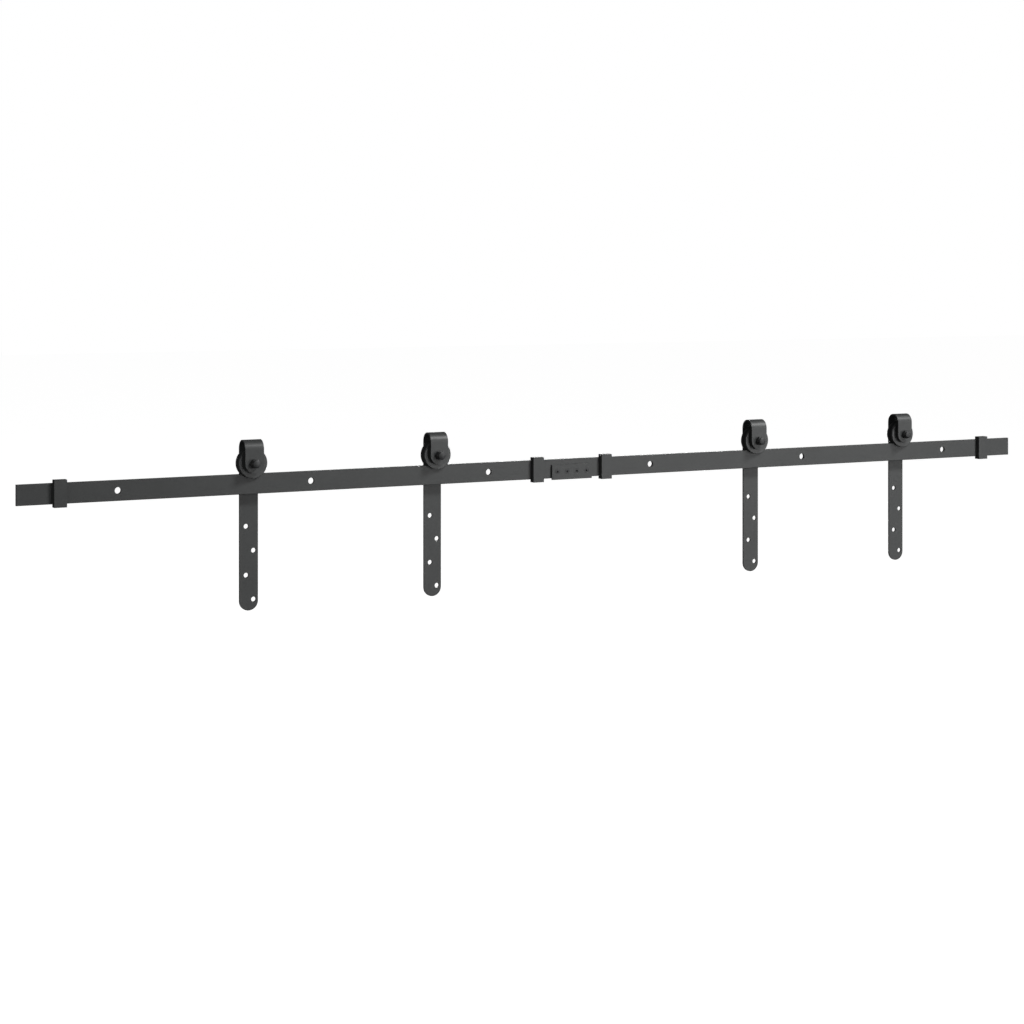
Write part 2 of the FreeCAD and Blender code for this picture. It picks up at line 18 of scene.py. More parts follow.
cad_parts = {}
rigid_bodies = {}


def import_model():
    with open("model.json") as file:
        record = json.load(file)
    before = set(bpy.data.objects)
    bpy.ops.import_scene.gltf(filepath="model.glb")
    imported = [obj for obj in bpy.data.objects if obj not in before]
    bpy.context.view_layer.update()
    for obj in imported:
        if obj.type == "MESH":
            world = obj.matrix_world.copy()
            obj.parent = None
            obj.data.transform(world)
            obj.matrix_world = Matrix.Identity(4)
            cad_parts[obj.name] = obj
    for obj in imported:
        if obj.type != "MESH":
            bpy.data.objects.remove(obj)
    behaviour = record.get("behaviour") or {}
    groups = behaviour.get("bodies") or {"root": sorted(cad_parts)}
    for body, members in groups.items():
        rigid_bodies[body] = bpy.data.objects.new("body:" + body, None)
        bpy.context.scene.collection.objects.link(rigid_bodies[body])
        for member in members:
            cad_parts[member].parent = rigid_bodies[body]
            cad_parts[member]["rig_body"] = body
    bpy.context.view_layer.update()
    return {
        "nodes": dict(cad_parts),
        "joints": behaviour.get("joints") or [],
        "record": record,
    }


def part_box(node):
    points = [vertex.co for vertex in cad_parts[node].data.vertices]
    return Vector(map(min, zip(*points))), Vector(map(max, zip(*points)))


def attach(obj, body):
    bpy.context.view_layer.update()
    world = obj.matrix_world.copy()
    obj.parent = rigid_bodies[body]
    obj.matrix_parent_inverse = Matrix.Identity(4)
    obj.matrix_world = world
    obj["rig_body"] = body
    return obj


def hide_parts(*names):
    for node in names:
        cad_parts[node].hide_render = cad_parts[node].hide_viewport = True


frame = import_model()

bl_info = {
    "name": "Sliding Door Track",
    "version": (1, 0, 0),
    "blender": (4, 5, 0),
    "location": "3D View > Sidebar > Track",
    "description": "Finishes a sliding door track and turns its wheels, bearings and fasteners",
    "category": "Object",
}

MM = 0.001
TURN = math.tau

# Turns that bring a piece's own Z axis along the axle, to the wall or down.
ALONG_AXLE = Matrix.Rotation(-TURN / 4, 4, "X")
TO_THE_WALL = Matrix.Rotation(TURN / 4, 4, "X")
DOWNWARDS = Matrix.Rotation(TURN / 2, 4, "X")

# Columns of points around a turned mesh.
WHEEL_COLUMNS = 160
RING_COLUMNS = 96
HEXAGON_COLUMNS = 72
SCREW_COLUMNS = 48
RIVET_COLUMNS = 16
CAGE_COLUMNS_PER_BALL = 36

# Faces that meet at a smaller angle than this are shaded as one smooth surface.
CREASE = math.radians(38)

# Noise keeps mostly between these two values.
NOISE_LOW = 0.3
NOISE_HIGH = 0.7

# A 60 degree thread of pitch 1: its depth, and half the width of its ridge at the crest and at the root.
THREAD_DEPTH = 0.6134
THREAD_CREST = 1 / 16
THREAD_ROOT = 3 / 8

# Radius of the flat end face of a nut or bolt head, and of a socket's mouth, for a width across flats of 1.
END_FACE = 0.475
SOCKET_MOUTH = 0.62

# How much wider than the bolt the bearing and the sleeves are bored, in radius.
SLIDE_FIT = 0.03 * MM

# Where each soft light hangs and how wide it is, in metres.
LIGHTS = {
    "key": ((2.5, -2.7, 3.6), 1.0),
    "fill": ((2.6, -4.2, 0.0), 3.0),
    "side": ((-3.4, -2.8, 0.5), 1.8),
    "back": ((1.8, 3.4, -0.35), 1.4),
}


def numbers_after(prefix):
    """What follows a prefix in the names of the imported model's nodes."""
    return sorted(name.removeprefix(prefix) for name in frame["nodes"] if name.startswith(prefix))


HANGERS = numbers_after("hanger_strap_")
STOPS = numbers_after("stop_block_")

# Where the axis of each joint passes, by the name of the body that it moves.
AXLES = {joint["child"]: Vector(joint["pos_m"]) for joint in frame["joints"] if "pos_m" in joint}


# Settings


def length(name, description, default, lowest=0.0):
    """A size that the user can change, in metres."""
    return FloatProperty(
        name=name, description=description, default=default, min=lowest, unit="LENGTH", precision=5
    )


def colour(name, description, default):
    """A colour that the user can change."""
    return FloatVectorProperty(
        name=name, description=description, default=default, size=3, min=0, max=1, subtype="COLOR"
    )


def share(name, description, default):
    """A number from 0 to 1 that the user can change."""
    return FloatProperty(name=name, description=description, default=default, min=0, max=1, subtype="FACTOR")


def power(name, description, default):
    """The power of a light that the user can change, in watts."""
    return FloatProperty(name=name, description=description, default=default, min=0, unit="POWER")


class CoatSettings(PropertyGroup):
    """The powder coat on the bars, plate, stops and straps."""

    colour: colour("Colour", "Colour of the powder coat", (0.047, 0.049, 0.049))
    roughness: share("Roughness", "How matt the powder coat is", 0.46)
    peel_size: length("Peel Size", "Width of the coat's fine ripples", 0.9 * MM)
    peel_height: length("Peel Height", "Height of the coat's fine ripples", 0.014 * MM)
    edge_radius: length("Edge Radius", "How far the coat rounds a sharp edge", 0.22 * MM)


class WheelSettings(PropertyGroup):
    """The turned wheels."""

    colour: colour("Colour", "Colour of the wheel's coating", (0.050, 0.052, 0.052))
    roughness: share("Roughness", "How matt the wheel is", 0.42)
    tread_radius: length("Tread Radius", "Radius where the wheel rolls on the bar", 16 * MM)
    groove_half: length("Groove Half Width", "Half the width of the tread", 2.95 * MM)
    taper: length("Taper", "How much thinner a flange is at its rim", 0.7 * MM)
    lip_radius: length("Lip Radius", "Radius of the opening in the lip behind the bearing", 9.7 * MM)


class BearingSettings(PropertyGroup):
    """The ball bearings."""

    ring_colour: colour("Ring Colour", "Colour of rings and balls", (0.56, 0.57, 0.58))
    sheet_colour: colour("Sheet Colour", "Colour of cage and shields", (0.45, 0.46, 0.47))
    ball_radius: length("Ball Radius", "Radius of a bearing ball", 2 * MM)
    circle_radius: length("Circle Radius", "Radius of the circle of ball centres", 7.775 * MM)
    race_gap: length("Race Gap", "Distance from the balls' circle to either ring", 1.725 * MM)
    groove_gap: length("Groove Gap", "Gap between a ball and its groove", 0.05 * MM)
    sheet: length("Sheet", "Thickness of the pressed cage", 0.3 * MM)
    ribbon: length("Ribbon", "Radial width of the pressed cage", 1.4 * MM)
    balls: IntProperty(name="Balls", description="Number of balls", default=7, min=3)


class FastenerSettings(PropertyGroup):
    """The bolts, nuts and screws."""

    colour: colour("Colour", "Colour of the black oxide", (0.035, 0.036, 0.037))
    roughness: share("Roughness", "How matt the black oxide is", 0.50)
    flats: length("Across Flats", "Width of nut and bolt head across flats", 13 * MM)
    hex_height: length("Hexagon Height", "Height of the cap nut's hexagon", 5.5 * MM)
    thread_depth: length("Thread Depth", "Depth of the cap nut's tapped hole", 7.5 * MM)
    dome_radius: length("Dome Radius", "Radius of the cap nut's dome", 6 * MM)
    crown: length("Crown", "Radius of the low crown on the dome", 14 * MM)
    socket: length("Socket", "Width of the screws' hexagon socket", 3 * MM)
    socket_depth: length("Socket Depth", "Depth of the screws' hexagon socket", 1.8 * MM)
    bolt_radius: length("Bolt Radius", "Radius of the axle bolt", 4 * MM)
    bolt_pitch: length("Bolt Pitch", "Thread pitch of the axle bolt", 1.25 * MM, 0.1 * MM)
    screw_radius: length("Screw Radius", "Radius of connector and set screws", 2.5 * MM)
    screw_pitch: length("Screw Pitch", "Thread pitch of the screws", 0.8 * MM, 0.1 * MM)


class StudioSettings(PropertyGroup):
    """The floor, the lights and the camera."""

    floor_drop: length("Floor Drop", "Height of the track over the floor", 1.1)
    floor_size: length("Floor Size", "Width of the floor", 60.0)
    key: power("Key Light", "Power of the high light", 228)
    fill: power("Fill Light", "Power of the front light", 88)
    back: power("Back Light", "Power of the low light behind", 170)
    side: power("Side Light", "Power of the light from the left", 25)
    room: FloatProperty(
        name="Room",
        description="Brightness of the dim room that the metal reflects",
        default=0.045,
        min=0,
    )
    eye: FloatVectorProperty(
        name="Eye",
        description="Place of the camera",
        default=(-1.6573, -3.0524, 0.3365),
        subtype="TRANSLATION",
    )
    heading: FloatProperty(
        name="Heading",
        description="How far the camera turns to the right",
        default=math.radians(26.893),
        subtype="ANGLE",
    )
    lens: FloatProperty(name="Lens", description="Focal length in millimetres", default=74.27, min=1)
    rise: FloatProperty(
        name="Rise",
        description="Upward shift of the lens, as a share of the sensor",
        default=-0.243,
    )


def settings():
    """All settings of the track, kept with the scene."""
    return bpy.context.scene.track


# Mesh tools


def skin(name, rows, columns, closed=False):
    """A mesh from rings of points about Z.

    A row is (radius, height), or a function that gives both at an angle. A radius of 0 closes an end in one
    point. With closed, the last row joins the first.
    """
    shape = bmesh.new()
    rings = []
    for row in rows:
        if not callable(row) and row[0] == 0:
            rings.append([shape.verts.new((0, 0, row[1]))])
            continue
        ring = []
        for column in range(columns):
            angle = TURN * column / columns
            radius, height = row(angle) if callable(row) else row
            ring.append(shape.verts.new((radius * math.cos(angle), radius * math.sin(angle), height)))
        rings.append(ring)
    pairs = list(zip(rings, rings[1:]))
    if closed:
        pairs.append((rings[-1], rings[0]))
    for lower, upper in pairs:
        for column in range(columns):
            after = (column + 1) % columns
            corners = [
                lower[column % len(lower)],
                lower[after % len(lower)],
                upper[after % len(upper)],
                upper[column % len(upper)],
            ]
            shape.faces.new(dict.fromkeys(corners))
    return mesh_of(name, shape)


def mesh_of(name, shape):
    """Turns a bmesh into a smooth-shaded mesh with its normals outwards and its creases sharp."""
    bmesh.ops.recalc_face_normals(shape, faces=shape.faces)
    mesh = bpy.data.meshes.new(name)
    shape.to_mesh(mesh)
    shape.free()
    mesh.shade_smooth()
    mesh.set_sharp_from_angle(angle=CREASE)
    return mesh


def joined(name, meshes):
    """One mesh from several."""
    shape = bmesh.new()
    for mesh in meshes:
        shape.from_mesh(mesh)
        bpy.data.meshes.remove(mesh)
    return mesh_of(name, shape)


def rounded(corners, closed=False, steps=4):
    """The points of an outline. A corner is (radius, height) or (radius, height, how far it is rounded)."""
    points = []
    for number, corner in enumerate(corners):
        here = Vector(corner[:2])
        at_end = not closed and number in (0, len(corners) - 1)
        if len(corner) == 2 or at_end:
            points.append(tuple(here))
            continue
        back = (Vector(corners[number - 1][:2]) - here).normalized()
        onward = (Vector(corners[(number + 1) % len(corners)][:2]) - here).normalized()
        half = back.angle(onward) / 2
        centre = here + (back + onward).normalized() * corner[2] / math.sin(half)
        start = here + back * corner[2] / math.tan(half) - centre
        sweep = start.angle_signed(here + onward * corner[2] / math.tan(half) - centre)
        for step in range(steps + 1):
            spoke = start.copy()
            spoke.rotate(Matrix.Rotation(-sweep * step / steps, 2))
            points.append(tuple(centre + spoke))
    return points


def arc(centre, radius, first, last, steps):
    """Points of an arc in the outline's plane, between two angles from the radial direction."""
    angles = [first + (last - first) * step / steps for step in range(steps + 1)]
    return [(centre[0] + radius * math.cos(a), centre[1] + radius * math.sin(a)) for a in angles]


def hexagon(flats, angle):
    """Radius of a hexagon at an angle."""
    return flats / 2 / math.cos((angle % (TURN / 6)) - TURN / 12)


def hexagon_side(flats, height):
    """A ring on a hexagon's walls."""
    return lambda angle: (hexagon(flats, angle), height)


def hexagon_chamfer(flats, top, outward, face):
    """The ring where a hexagon's walls meet the 30 degree cone that trims its corners."""

    def place(angle):
        radius = hexagon(flats, angle)
        return radius, top - outward * (radius - face) * math.tan(TURN / 12)

    return place


def ridge(angle, height, pitch):
    """How high a thread stands at an angle and a height, from 0 at its root to 1 at its crest."""
    away = abs((height / pitch - angle / TURN) % 1 - 0.5)
    return min(1, max(0, (THREAD_ROOT - away) / (THREAD_ROOT - THREAD_CREST)))


def levels(low, high, pitch, steps=8):
    """Even heights from low to high, about as many in each pitch of a thread as there are steps."""
    count = round(steps * (high - low) / pitch)
    return [low + (high - low) * step / count for step in range(count + 1)]


def thread(radius, pitch, low, high, tip):
    """Rings of a thread that climbs one pitch a turn, from a cone at its tip to a run-out at its top."""
    depth = THREAD_DEPTH * pitch

    def ring(height):
        def place(angle):
            run_out = min(1, (high - height) / pitch)
            full = radius - depth * run_out * (1 - ridge(angle, height, pitch))
            return min(full, tip + (height - low)), height

        return place

    return [ring(height) for height in levels(low, high, pitch)]


def tapped(radius, pitch, low, high):
    """Rings of the thread inside a nut, in step with the bolt's thread."""
    depth = THREAD_DEPTH * pitch

    def ring(height):
        return lambda angle: (radius - depth * (1 - ridge(angle, height, pitch)), height)

    return [ring(height) for height in levels(low, high, pitch)]


# Nodes


def node(tree, kind, values=None, **options):
    """Adds a node, sets its options and gives its sockets values or links."""
    made = tree.nodes.new(kind)
    for option, value in options.items():
        setattr(made, option, value)
    for socket, value in (values or {}).items():
        if isinstance(value, bpy.types.NodeSocket):
            tree.links.new(value, made.inputs[socket])
        else:
            made.inputs[socket].default_value = value
    return made


def own_place(tree):
    """Coordinates in metres that stay with the piece."""
    return node(tree, "ShaderNodeTexCoord").outputs["Object"]


def grain(tree, place, size, detail=2.0, roughness=0.5):
    """Cloudy noise whose blotches are about size across, in metres."""
    values = {"Vector": place, "Scale": 1 / size, "Detail": detail, "Roughness": roughness}
    return node(tree, "ShaderNodeTexNoise", values).outputs["Fac"]


def spread(tree, value, low, high):
    """Maps noise to the range from low to high."""
    values = {"Value": value, "From Min": NOISE_LOW, "From Max": NOISE_HIGH, "To Min": low, "To Max": high}
    return node(tree, "ShaderNodeMapRange", values).outputs["Result"]


def around(tree, value, middle, swing):
    """Maps noise to the range that reaches a swing to either side of a middle value."""
    return spread(tree, value, middle - swing, middle + swing)


def shaded(tree, value, colour, variation):
    """A colour that varies up and down by a share of itself."""
    darker = [channel * (1 - variation) for channel in colour] + [1]
    lighter = [channel * (1 + variation) for channel in colour] + [1]
    made = node(tree, "ShaderNodeMix", data_type="RGBA")
    tree.links.new(spread(tree, value, 0, 1), made.inputs["Factor"])
    made.inputs["A"].default_value = darker
    made.inputs["B"].default_value = lighter
    return made.outputs["Result"]


def bumps(tree, height, distance, under=None):
    """Turns heights of 0 to 1 into a bumpy normal, over another one if there is one."""
    values = {"Height": height, "Distance": distance, "Strength": 1.0}
    if under:
        values["Normal"] = under
    return node(tree, "ShaderNodeBump", values).outputs["Normal"]


def rings_about_z(tree, place, pitch):
    """Fine turned grooves around Z, as a height of 0 to 1, uneven as a lathe leaves them."""
    parts = node(tree, "ShaderNodeSeparateXYZ", {"Vector": place})
    flat = node(tree, "ShaderNodeCombineXYZ", {"X": parts.outputs["X"], "Y": parts.outputs["Y"]})
    radius = node(tree, "ShaderNodeVectorMath", {0: flat.outputs["Vector"]}, operation="LENGTH")
    terms = {0: radius.outputs["Value"], 1: parts.outputs["Z"]}
    along = node(tree, "ShaderNodeMath", terms, operation="ADD")
    values = {"W": along.outputs["Value"], "Scale": 1 / pitch, "Detail": 2.0}
    return node(tree, "ShaderNodeTexNoise", values, noise_dimensions="1D").outputs["Fac"]


def new_finish(name, metallic, specular=0.5):
    """An empty material for a finish, with its tree and its shader."""
    material = bpy.data.materials.new(name)
    material.use_nodes = True
    shader = material.node_tree.nodes["Principled BSDF"]
    shader.inputs["Metallic"].default_value = metallic
    shader.inputs["Specular IOR Level"].default_value = specular
    return material, material.node_tree, shader


def connect(tree, shader, links):
    """Links values to the shader's sockets."""
    for socket, value in links.items():
        tree.links.new(value, shader.inputs[socket])


def powder_coat():
    """Matt black powder coat: orange-peel ripples, a finer grain and faint clouding."""
    coat = settings().coat
    material, tree, shader = new_finish("powder_coat", metallic=0.0, specular=0.42)
    place = own_place(tree)
    clouds = grain(tree, place, size=45 * MM, detail=3)
    specks = grain(tree, place, size=0.35 * MM, detail=1)
    ripples = grain(tree, place, size=coat.peel_size, detail=1.5)
    normal = bumps(tree, ripples, coat.peel_height)
    normal = bumps(tree, specks, coat.peel_height / 4, normal)
    connect(
        tree,
        shader,
        {
            "Base Color": shaded(tree, clouds, coat.colour, variation=0.05),
            "Roughness": around(tree, specks, coat.roughness, swing=0.04),
            "Normal": normal,
        },
    )
    return material


def wheel_finish():
    """Satin black coating over the fine grooves that turning leaves."""
    wheel = settings().wheel
    material, tree, shader = new_finish("wheel_black", metallic=0.0, specular=0.5)
    place = own_place(tree)
    grooves = rings_about_z(tree, place, pitch=0.22 * MM)
    clouds = grain(tree, place, size=12 * MM, detail=3)
    specks = grain(tree, place, size=0.5 * MM, detail=2)
    normal = bumps(tree, grooves, distance=0.012 * MM)
    normal = bumps(tree, specks, distance=0.006 * MM, under=normal)
    connect(
        tree,
        shader,
        {
            "Base Color": shaded(tree, clouds, wheel.colour, variation=0.07),
            "Roughness": around(tree, grooves, wheel.roughness, swing=0.06),
            "Normal": normal,
        },
    )
    return material


def oxide_finish():
    """Black oxide on turned and forged steel: blotchy, a little oily, with fine tool marks."""
    fastener = settings().fastener
    material, tree, shader = new_finish("black_oxide", metallic=0.0, specular=0.45)
    place = own_place(tree)
    blotches = grain(tree, place, size=3 * MM, detail=4)
    marks = rings_about_z(tree, place, pitch=0.15 * MM)
    specks = grain(tree, place, size=0.4 * MM, detail=3)
    normal = bumps(tree, marks, distance=0.006 * MM)
    normal = bumps(tree, specks, distance=0.008 * MM, under=normal)
    connect(
        tree,
        shader,
        {
            "Base Color": shaded(tree, blotches, fastener.colour, variation=0.16),
            "Roughness": around(tree, blotches, fastener.roughness, swing=0.08),
            "Normal": normal,
        },
    )
    return material


def ground_steel():
    """Bright ground bearing steel with the fine scratches of grinding."""
    material, tree, shader = new_finish("bearing_steel", metallic=1.0)
    place = own_place(tree)
    scratches = rings_about_z(tree, place, pitch=0.06 * MM)
    film = grain(tree, place, size=4 * MM, detail=3)
    connect(
        tree,
        shader,
        {
            "Base Color": shaded(tree, film, settings().bearing.ring_colour, variation=0.04),
            "Roughness": spread(tree, scratches, low=0.14, high=0.26),
            "Normal": bumps(tree, scratches, distance=0.002 * MM),
        },
    )
    return material


def pressed_steel():
    """Bright rolled sheet, as it comes out of the press."""
    material, tree, shader = new_finish("cage_steel", metallic=1.0)
    place = own_place(tree)
    film = grain(tree, place, size=2.5 * MM, detail=4)
    pores = grain(tree, place, size=0.12 * MM, detail=2)
    connect(
        tree,
        shader,
        {
            "Base Color": shaded(tree, film, settings().bearing.sheet_colour, variation=0.06),
            "Roughness": spread(tree, pores, low=0.28, high=0.42),
            "Normal": bumps(tree, pores, distance=0.003 * MM),
        },
    )
    return material


FINISHES = {
    "powder_coat": powder_coat,
    "wheel_black": wheel_finish,
    "black_oxide": oxide_finish,
    "bearing_steel": ground_steel,
    "cage_steel": pressed_steel,
}


def finish_of(slot):
    """The material of a slot, made when it is first asked for."""
    name = f"track_{slot}"
    if name not in bpy.data.materials:
        FINISHES[slot]().name = name
    return bpy.data.materials[name]


# Placing


def body_of(cad_node):
    """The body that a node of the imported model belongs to."""
    return frame["nodes"][cad_node]["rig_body"]


def slot_of(cad_node):
    """The material slot that the record gives a node."""
    return next(part["material_slot"] for part in frame["record"]["subparts"] if part["node"] == cad_node)


def add(mesh, cad_node, place):
    """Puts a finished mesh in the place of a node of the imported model."""
    piece = bpy.data.objects.new(mesh.name, mesh)
    bpy.context.scene.collection.objects.link(piece)
    piece.matrix_world = place
    mesh.materials.append(finish_of(slot_of(cad_node)))
    flatten = piece.modifiers.new("even_shading", "WEIGHTED_NORMAL")
    flatten.keep_sharp = True
    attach(piece, body_of(cad_node))
    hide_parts(cad_node)
    return piece


def coat(cad_node, edge_radius=0.0):
    """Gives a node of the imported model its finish, and softens its edges by a radius."""
    carried = frame["nodes"][cad_node]
    carried.data.materials.clear()
    carried.data.materials.append(finish_of(slot_of(cad_node)))
    if not edge_radius:
        return
    weld = carried.modifiers.new("weld", "WELD")
    weld.merge_threshold = 0.001 * MM
    clear = carried.modifiers.new("whole_faces", "DECIMATE")
    clear.decimate_type = "DISSOLVE"
    clear.angle_limit = math.radians(0.3)
    soften = carried.modifiers.new("soft_edges", "BEVEL")
    soften.width = edge_radius
    soften.segments = 3
    soften.limit_method = "ANGLE"
    soften.angle_limit = math.radians(30)
    soften.harden_normals = False
    flatten = carried.modifiers.new("even_shading", "WEIGHTED_NORMAL")
    flatten.keep_sharp = False


def on_axle(number):
    """The place of a round piece on a hanger's axle."""
    return Matrix.Translation(AXLES[f"wheel_{number}"]) @ ALONG_AXLE


def reach(cad_node, number):
    """Radius, lowest and highest place along the axle of a node around a hanger's axle."""
    low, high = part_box(cad_node)
    middle = AXLES[f"wheel_{number}"]
    return high.z - middle.z, low.y - middle.y, high.y - middle.y


# Round pieces


def wheel_mesh(number):
    """A wheel with two flanges, a groove that runs on the bar, flat faces and a stepped bore."""
    wheel = settings().wheel
    flange, low, high = reach(f"wheel_{number}", number)
    bore, _, seat = reach(f"bearing_outer_ring_{number}", number)
    soft = 0.3 * MM
    rim_edge = 0.9 * MM
    groove_root = 0.4 * MM
    seat_edge = 0.1 * MM

    def face(side, z, inner):
        """One half of the outline, from its opening over the flange to the tread."""
        return [
            (inner, z, soft),
            (flange, z, rim_edge),
            (flange, side * (wheel.groove_half + wheel.taper), soft),
            (wheel.tread_radius, side * wheel.groove_half, groove_root),
        ]

    outline = face(-1, low, bore) + face(1, high, wheel.lip_radius)[::-1]
    outline += [(wheel.lip_radius, seat, seat_edge), (bore, seat, seat_edge)]
    return skin(f"turned_wheel_{number}", rounded(outline, closed=True), WHEEL_COLUMNS, closed=True)


def ring_corners(land, seat, first, last):
    """The square side of a bearing ring's outline: softly broken beside the balls, and more at its seat."""
    land_edge = 0.15 * MM
    seat_edge = 0.3 * MM
    corners = [
        (land, first, land_edge),
        (seat, first, seat_edge),
        (seat, last, seat_edge),
        (land, last, land_edge),
    ]
    return rounded(corners, closed=True, steps=3)


def outer_ring_mesh(number):
    """The bearing's outer ring, with the round groove that the balls run in."""
    bearing = settings().bearing
    outer, low, high = reach(f"bearing_outer_ring_{number}", number)
    groove = bearing.ball_radius + bearing.groove_gap
    inner = bearing.circle_radius + bearing.race_gap
    half = math.acos((inner - bearing.circle_radius) / groove)
    outline = ring_corners(inner, outer, low, high)
    track = arc((bearing.circle_radius, 0), groove, half, -half, steps=10)
    return skin(f"ground_outer_ring_{number}", outline + track, RING_COLUMNS, closed=True)


def inner_ring_mesh(number):
    """The bearing's inner ring, with the round groove that the balls run in."""
    bearing = settings().bearing
    outer, low, high = reach(f"bearing_inner_ring_{number}", number)
    bore = settings().fastener.bolt_radius + SLIDE_FIT
    groove = bearing.ball_radius + bearing.groove_gap
    half = math.acos((bearing.circle_radius - outer) / groove)
    outline = ring_corners(outer, bore, high, low)
    track = arc((bearing.circle_radius, 0), groove, TURN / 2 + half, TURN / 2 - half, steps=10)
    return skin(f"ground_inner_ring_{number}", outline + track, RING_COLUMNS, closed=True)


def sleeve(name, inner, outer, low, high, soft):
    """A plain ring with softened edges."""
    corners = [(inner, low, soft), (outer, low, soft), (outer, high, soft), (inner, high, soft)]
    return skin(name, rounded(corners, closed=True, steps=3), RING_COLUMNS, closed=True)


def both_sides(name, number, cad_node, inner, soft):
    """A ring on each side of the wheel, from the node's inner end to its outer end and mirrored."""
    outer, _, far = reach(cad_node, number)
    near = inner_end(cad_node, number)
    ends = ((near, far), (-far, -near))
    return joined(name, [sleeve(name, inner, outer, low, high, soft) for low, high in ends])


def inner_end(cad_node, number):
    """Where a pair of rings starts on the side away from the wall."""
    middle = AXLES[f"wheel_{number}"].y
    return min(v.co.y - middle for v in frame["nodes"][cad_node].data.vertices if v.co.y > middle)


def shield_mesh(number):
    """The two bearing shields: thin pressed covers with a rolled rim and a turned-in edge."""
    outer, _, top = reach(f"bearing_shields_{number}", number)
    low = inner_end(f"bearing_shields_{number}", number)
    clear_of_ring = 0.2 * MM
    inner = reach(f"bearing_inner_ring_{number}", number)[0] + clear_of_ring
    rim = outer - 0.45 * MM
    step = 0.12 * MM
    turned_in = 0.25 * MM
    hem = 0.15 * MM
    sharp = 0.05 * MM
    soft = 0.1 * MM
    corners = [
        (inner, top - turned_in, sharp),
        (inner + turned_in, top, soft),
        (rim - step, top, sharp),
        (rim, top - step, sharp),
        (rim + step, top, sharp),
        (outer, top, soft),
        (outer, low, sharp),
        (rim, low - step / 2, sharp),
        (inner + turned_in + sharp, low, sharp),
        (inner, low - hem, sharp),
    ]
    mirrored = [(radius, -height, edge) for radius, height, edge in corners]
    name = f"pressed_shields_{number}"
    outlines = [rounded(side, closed=True, steps=2) for side in (corners, mirrored)]
    return joined(name, [skin(name, outline, RING_COLUMNS, closed=True) for outline in outlines])


def rivet(name, radius, height, angle, circle):
    """A small round rivet through the cage, with a domed head at each end."""
    rise = radius / 2
    angles = [TURN / 4 * step / 4 for step in range(4)]
    dome = [(radius * math.cos(a), height - rise + rise * math.sin(a)) for a in angles]
    rows = [(0, -height)] + [(r, -z) for r, z in dome[::-1]] + dome + [(0, height)]
    mesh = skin(name, rows, RIVET_COLUMNS)
    mesh.transform(Matrix.Rotation(angle, 4, "Z") @ Matrix.Translation((circle, 0, 0)))
    return mesh


def cage_mesh(number):
    """The ball cage: two pressed ribbons that wrap the balls and are riveted together between them."""
    bearing = settings().bearing
    name = f"pressed_cage_{number}"
    pitch = TURN / bearing.balls
    circle = bearing.circle_radius
    half_width = bearing.ribbon / 2
    wrap = bearing.ball_radius + 0.08 * MM
    gap = 0.01 * MM
    rivet_radius = 0.42 * MM
    rivet_height = bearing.sheet + 0.22 * MM

    def lift(angle, radius):
        """How high a ribbon's face stands around a ball; between two balls it lies flat."""
        away = circle * (((angle + pitch / 2) % pitch) - pitch / 2)
        if abs(away) >= radius:
            return 0.0
        return math.sqrt(radius * radius - away * away)

    def ribbon(side):
        """The half of the cage on one side of the balls."""

        def ring(radius, thickness):
            return lambda angle: (radius, side * (gap + thickness + lift(angle, wrap + thickness)))

        rows = [
            ring(circle - half_width, 0),
            ring(circle + half_width, 0),
            ring(circle + half_width, bearing.sheet),
            ring(circle - half_width, bearing.sheet),
        ]
        return skin(name, rows, CAGE_COLUMNS_PER_BALL * bearing.balls, closed=True)

    angles = [pitch * (ball + 0.5) for ball in range(bearing.balls)]
    rivets = [rivet(name, rivet_radius, rivet_height, angle, circle) for angle in angles]
    return joined(name, [ribbon(1), ribbon(-1)] + rivets)


def bolt_mesh(number):
    """The axle bolt: a chamfered hexagon head on a washer face, a plain shank and a rolled thread."""
    fastener = settings().fastener
    _, tip, top = reach(f"axle_bolt_{number}", number)
    seat = reach(f"washers_{number}", number)[2]
    radius = fastener.bolt_radius
    face = END_FACE * fastener.flats
    threaded = 10 * MM
    tip_chamfer = 0.8 * MM
    washer_face = 0.2 * MM
    neck = 0.3 * MM
    border = 0.15 * MM
    rows = [(0, tip)]
    rows += thread(radius, fastener.bolt_pitch, tip, tip + threaded, radius - tip_chamfer)
    rows += [
        (radius, seat - neck),
        (radius, seat),
        (face, seat),
        (face, seat + washer_face),
        hexagon_side(fastener.flats, seat + washer_face),
        hexagon_chamfer(fastener.flats, top, 1, face),
        (face, top),
        (face - border, top),
        (0, top),
    ]
    return skin(f"axle_bolt_piece_{number}", rows, HEXAGON_COLUMNS)


